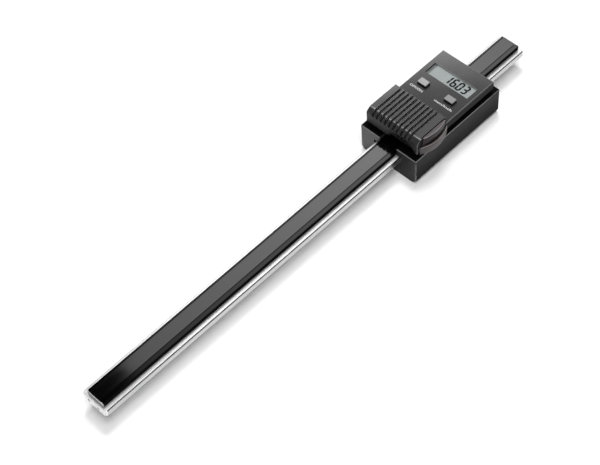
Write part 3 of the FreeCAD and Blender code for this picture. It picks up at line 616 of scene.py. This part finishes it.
# Solids whose edges are broken, each with the width of the break
softened("scale_beam", "beam", (RAIL, LEDGE_SHADE, RIM_SHADE, CUT_END), 0.08, choose=rail_face)
softened("scale_carrier", "beam", (COAT, COAT_SIDE, CUT_END), 0.1, choose=carrier_face)
softened("slider_base", "slider", (BASE, BASE_TOP_SHADE, BASE_SIDE), 0.3,
         choose=base_face, edge_wear_and_light=BASE_EDGE)
softened("foot_plate", "slider", (HOUSING,), 0.15)
softened("display_case", "slider", (HOUSING,), 0.15)
softened("display_fascia", "slider", (FASCIA, HOUSING, OPENING_WALL_LIGHT), 0.12,
         choose=fascia_face, edge_wear_and_light=FASCIA_EDGE_HIGHLIGHT)
softened("ribbed_cover", "slider", (COVER, COVER_SIDE_SHADE, GROOVE_SHADE), 0.15,
         choose=cover_face, edge_wear_and_light=COVER_EDGE_HIGHLIGHT)
softened("battery_drawer", "drawer", (DRAWER, DRAWER_FACE, DRAWER_LIP, GROOVE_SHADE), 0.15,
         choose=drawer_face, edge_wear_and_light=DRAWER_EDGE_LIGHT_AND_SHADE)
for name in ("button_left", "button_right"):
    softened(name, name, (BUTTON, BUTTON_SIDE), 0.25, choose=upright_face)


class Tree:
    """A geometry node tree with named inputs."""

    def __init__(self, name, **inputs):
        self.group = bpy.data.node_groups.new(name, "GeometryNodeTree")
        face = self.group.interface
        face.new_socket("Geometry", in_out="INPUT", socket_type="NodeSocketGeometry")
        face.new_socket("Geometry", in_out="OUTPUT", socket_type="NodeSocketGeometry")
        self.keys = {}
        for label, kind in {**inputs, "Material": "Material"}.items():
            made = face.new_socket(label, in_out="INPUT", socket_type="NodeSocket" + kind)
            self.keys[label] = made.identifier
        self.given = self.group.nodes.new("NodeGroupInput").outputs

    def node(self, kind, links=(), **fields):
        made = self.group.nodes.new(kind)
        for field, value in fields.items():
            setattr(made, field, value)
        for socket, value in dict(links).items():
            target = made.inputs[socket]
            if isinstance(value, bpy.types.NodeSocket):
                self.group.links.new(value, target)
            else:
                target.default_value = value
        return made

    def math(self, kind, a, b=0.0):
        return self.node("ShaderNodeMath", {0: a, 1: b}, operation=kind).outputs[0]

    def on_points(self, shape):
        """The shape on every given point, turned as the point says."""
        turn = self.node("GeometryNodeInputNamedAttribute", {"Name": "turn"}, data_type="FLOAT_VECTOR")
        spread = self.node("GeometryNodeInstanceOnPoints", {
            "Points": self.given["Geometry"], "Instance": shape, "Rotation": turn.outputs[0]})
        return spread.outputs[0]

    def close(self, geometry):
        """Ends the tree in real geometry with its material."""
        real = self.node("GeometryNodeRealizeInstances", {"Geometry": geometry})
        painted = self.node("GeometryNodeSetMaterial",
                            {"Geometry": real.outputs[0], "Material": self.given["Material"]})
        self.node("NodeGroupOutput", {0: painted.outputs[0]})

    def grow(self, name, mesh, **values):
        """The plain mesh that the tree makes from the given points and sizes."""
        draft = bpy.data.objects.new(name + "_draft", mesh)
        modifier = draft.modifiers.new(name, "NODES")
        modifier.node_group = self.group
        for label, value in values.items():
            modifier[self.keys[label]] = value
        scene.collection.objects.link(draft)
        grown = as_mesh(draft, name)
        bpy.data.objects.remove(draft)
        return grown


def points(name, places, turns):
    """Loose points in millimetres, each with a turn of its own, in degrees, kept as an attribute."""
    mesh = bpy.data.meshes.new(name)
    mesh.from_pydata([Vector(p) * MM for p in places], [], [])
    turn = mesh.attributes.new("turn", "FLOAT_VECTOR", "POINT")
    for i, angles in enumerate(turns):
        turn.data[i].vector = [math.radians(a) for a in angles]
    return mesh


def segment_tree():
    """Display segments: a long six-sided bar on every point, turned as the point says."""
    tree = Tree("display_segments", Length="Float", Width="Float", Thickness="Float")
    length, width, thick = (tree.given[k] for k in ("Length", "Width", "Thickness"))
    six = tree.node("GeometryNodeMeshCircle", {"Vertices": 6, "Radius": 1.0}, fill_type="NGON")
    place = tree.node("GeometryNodeInputPosition")
    split = tree.node("ShaderNodeSeparateXYZ", {0: place.outputs[0]})
    from_tip = tree.math("SUBTRACT", tree.math("ABSOLUTE", split.outputs[0]), 1.0)
    reach = tree.math("ADD", tree.math("MULTIPLY", from_tip, width), tree.math("MULTIPLY", length, 0.5))
    new_x = tree.math("MULTIPLY", tree.math("SIGN", split.outputs[0]), reach)
    circle_half = math.sin(math.radians(60))
    new_y = tree.math("MULTIPLY", split.outputs[1], tree.math("MULTIPLY", width, 0.5 / circle_half))
    moved = tree.node("ShaderNodeCombineXYZ", {0: new_x, 1: new_y})
    bar = tree.node("GeometryNodeSetPosition",
                    {"Geometry": six.outputs[0], "Position": moved.outputs[0]})
    solid = tree.node("GeometryNodeExtrudeMesh",
                      {"Mesh": bar.outputs[0], "Offset Scale": thick, "Individual": False})
    tree.close(tree.on_points(solid.outputs[0]))
    return tree


# Sides of a thread ring, corners of its crest, and the depth of the first ring as a share of the pitch
RING_SIDES = 28
CREST_CORNERS = 4
FIRST_RING = 0.7


def thread_tree():
    """Tapped threads: rings set one pitch apart down each hole, from its mouth."""
    tree = Tree("tapped_thread", Radius="Float", Pitch="Float", Turns="Int", Crest="Float")
    circle = tree.node("GeometryNodeCurvePrimitiveCircle",
                       {"Resolution": RING_SIDES, "Radius": tree.given["Radius"]})
    crest = tree.node("GeometryNodeCurvePrimitiveCircle",
                      {"Resolution": CREST_CORNERS, "Radius": tree.given["Crest"]})
    ring = tree.node("GeometryNodeCurveToMesh",
                     {"Curve": circle.outputs[0], "Profile Curve": crest.outputs[0]})
    step = tree.node("ShaderNodeCombineXYZ", {2: tree.given["Pitch"]})
    depth = tree.math("MULTIPLY", tree.given["Pitch"], FIRST_RING)
    start = tree.node("ShaderNodeCombineXYZ", {2: depth})
    line = tree.node("GeometryNodeMeshLine", {
        "Count": tree.given["Turns"], "Start Location": start.outputs[0], "Offset": step.outputs[0]})
    stack = tree.node("GeometryNodeInstanceOnPoints",
                      {"Points": line.outputs[0], "Instance": ring.outputs[0]})
    tree.close(tree.on_points(stack.outputs[0]))
    return tree


# Figures on the display, read from the near end: a reading of plain numbers, each with its left limit
SEGMENTS = {"1": "bc", "6": "afgedc", "0": "abcdef", "3": "abgcd"}
READING = (("1", 4.2), ("6", -0.6), ("0", -5.0), ("3", -9.45))
POINT_Y = -4.75
FIGURE_HEIGHT = 7.6
FIGURE_WIDTH = 3.85
FIGURE_RISE = 0.5
SEGMENT_WIDTH = 1.25
SEGMENT_OVERLAP = 0.25
SLANT = 5.0
INK_LIFT = 0.005
INK_THICKNESS = 0.03

half_width = (FIGURE_WIDTH - SEGMENT_WIDTH) / 2
half_height = (FIGURE_HEIGHT - SEGMENT_WIDTH) / 2
figure_middle = (display_low[0] + display_high[0]) / 2 / MM + FIGURE_RISE
ink_level = display_high[2] / MM + INK_LIFT


def segment_places(figure, left):
    """The middle of each lit segment of a figure, and whether it lies level."""
    middles = {
        "a": (0, half_height), "g": (0, 0), "d": (0, -half_height),
        "b": (half_width, half_height / 2), "c": (half_width, -half_height / 2),
        "e": (-half_width, -half_height / 2), "f": (-half_width, half_height / 2),
    }
    for key in SEGMENTS[figure]:
        across, up = middles[key]
        lean = up * math.tan(math.radians(SLANT))
        yield (figure_middle + up, left - FIGURE_WIDTH / 2 - across - lean, ink_level), key in "adg"


lit = [spot for figure, left in READING for spot in segment_places(figure, left)]
uprights = [place for place, is_level in lit if not is_level]
levels = [place for place, is_level in lit if is_level]
point = (figure_middle - half_height, POINT_Y, ink_level)
segments = segment_tree()
for name, places, turn, length in (
        ("display_uprights", uprights, -SLANT, half_height + SEGMENT_OVERLAP),
        ("display_levels", levels, 90, 2 * half_width + SEGMENT_OVERLAP),
        ("display_point", [point], 0, SEGMENT_WIDTH)):
    spots = points(name + "_spots", places, [(0, 0, turn)] * len(places))
    bars = segments.grow(name, spots, Length=length * MM, Width=SEGMENT_WIDTH * MM,
                         Thickness=INK_THICKNESS * MM, Material=INK)
    add(name, bars, "slider")

# Threads in the tapped holes of the beam's ends and of the base's underside
END_THREAD = {"Pitch": 0.45 * MM, "Turns": 16, "Crest": 0.1 * MM}
FOOT_THREAD = {"Pitch": 0.7 * MM, "Turns": 10, "Crest": 0.15 * MM}
mounts = {mount["name"]: mount for mount in frame["record"]["mounts"]}
threads = thread_tree()

end_holes = [mounts[name] for name in ("beam_end_near_left", "beam_end_near_right",
                                       "beam_end_far_left", "beam_end_far_right")]
end_places = []
end_turns = []
for hole in end_holes:
    outward = Vector(hole["axis"])
    end_places.append(Vector(hole["pos_m"]) / MM + outward * hole["dims"]["length_mm"] / 2)
    end_turns.append((0, -90 * outward.x, 0))
# The end threads take the rail's darker metal, painted shade in the holes
end_thread = threads.grow("end_threads", points("end_spots", end_places, end_turns),
                          Radius=end_holes[0]["dims"]["r_mm"] * MM, Material=RIM_SHADE, **END_THREAD)
add("end_threads", end_thread, "beam")

foot = mounts["slider_holes"]["dims"]
foot_x = foot["spacing_x_mm"] / 2
foot_y = foot["spacing_y_mm"] / 2
foot_places = [(x, y, 0.0) for x in (foot_x, -foot_x) for y in (foot_y, -foot_y)]
foot_turns = [(0, 0, 0)] * len(foot_places)
foot_thread = threads.grow("foot_threads", points("foot_spots", foot_places, foot_turns),
                           Radius=foot["hole_r_mm"] * MM, Material=STEEL, **FOOT_THREAD)
add("foot_threads", foot_thread, "slider")


# Printed words below the buttons, read from the near end
WORD_LINE = -0.7
WORD_HEIGHT = 1.7
PRINT_LIFT = 0.01
PRINT_BOLDNESS = 0.02
panel_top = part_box("display_fascia")[1][2]


def words(name, text, left, width):
    """Flat printed words that start at a left limit and fill a width."""
    curve = bpy.data.curves.new(name, "FONT")
    curve.body = text
    curve.size = 1.0
    curve.extrude = PRINT_LIFT * MM
    curve.offset = PRINT_BOLDNESS
    draft = bpy.data.objects.new(name + "_draft", curve)
    scene.collection.objects.link(draft)
    mesh = as_mesh(draft, name)
    bpy.data.objects.remove(draft)
    xs = [v.co.x for v in mesh.vertices]
    ys = [v.co.y for v in mesh.vertices]
    start = Matrix.Translation((-min(xs), -min(ys), 0.0))
    wide = width * MM / (max(xs) - min(xs))
    high = WORD_HEIGHT * MM / (max(ys) - min(ys))
    fit = Matrix.Diagonal((wide, high, 1.0, 1.0))
    turn = Matrix.Rotation(math.radians(-90), 4, "Z")
    place = Matrix.Translation((WORD_LINE * MM, left * MM, panel_top))
    mesh.transform(place @ turn @ fit @ start)
    mesh.materials.clear()
    mesh.materials.append(WHITE_PRINT)
    add(name, mesh, "slider")


words("switch_words", "OFF/ON", 17.0, 10.0)
words("unit_words", "mm/inch", -3.0, 13.6)

# Floor
FLOOR_HALF = 4.0
floor_corners = [(x * FLOOR_HALF, y * FLOOR_HALF, 0) for x, y in ((-1, -1), (1, -1), (1, 1), (-1, 1))]
floor_mesh = bpy.data.meshes.new("floor")
floor_mesh.from_pydata(floor_corners, [], [(0, 1, 2, 3)])
floor_mesh.materials.append(pale_floor())
floor = bpy.data.objects.new("floor", floor_mesh)
scene.collection.objects.link(floor)


def studio_walls(*stops):
    """Pale walls and ceiling: pairs of a height, 0 at the horizon and 1 overhead, and a brightness."""
    world = bpy.data.worlds.new("studio")
    world.use_nodes = True
    tree = world.node_tree
    way = tree.nodes.new("ShaderNodeTexCoord")
    split = tree.nodes.new("ShaderNodeSeparateXYZ")
    ramp = tree.nodes.new("ShaderNodeValToRGB")
    tree.links.new(way.outputs["Generated"], split.inputs[0])
    tree.links.new(split.outputs["Z"], ramp.inputs["Fac"])
    marks = ramp.color_ramp.elements
    for i, (height, bright) in enumerate(stops):
        mark = marks[i] if i < RAMP_POINTS else marks.new(height)
        mark.position = height
        mark.color = (bright, bright, bright, 1.0)
    tree.links.new(ramp.outputs["Color"], tree.nodes["Background"].inputs["Color"])
    return world


def panel(name, shape, place, aim, size, power):
    """A soft light panel, aimed at a point."""
    lamp = bpy.data.lights.new(name, "AREA")
    lamp.shape = shape
    lamp.size, lamp.size_y = size
    lamp.energy = power
    light = bpy.data.objects.new(name, lamp)
    light.location = place
    light.rotation_euler = (Vector(aim) - Vector(place)).to_track_quat("-Z", "Y").to_euler()
    scene.collection.objects.link(light)
    return light


# Lights: the far panel is only mirrored by the tops, so it throws no broad shade on the floor
scene.world = studio_walls((0.0, 0.25), (0.12, 0.55), (0.58, 0.45),
                           (0.7, 0.03), (0.92, 0.03), (0.97, 0.4))
mirrored = panel("far_panel", "RECTANGLE", (0.755, 0.72, 1.2), (0.755, 0.721, 0.0), (1.31, 0.7), 13.0)
mirrored.visible_diffuse = False
panel("top_panel", "DISK", (-0.40, -0.48, 1.71), (-0.1, 0.0, 0.0), (1.1, 1.1), 19.0)
panel("left_panel", "DISK", (0.38, 0.35, 1.7), (0.0, 0.0, 0.0), (0.6, 0.6), 17.5)
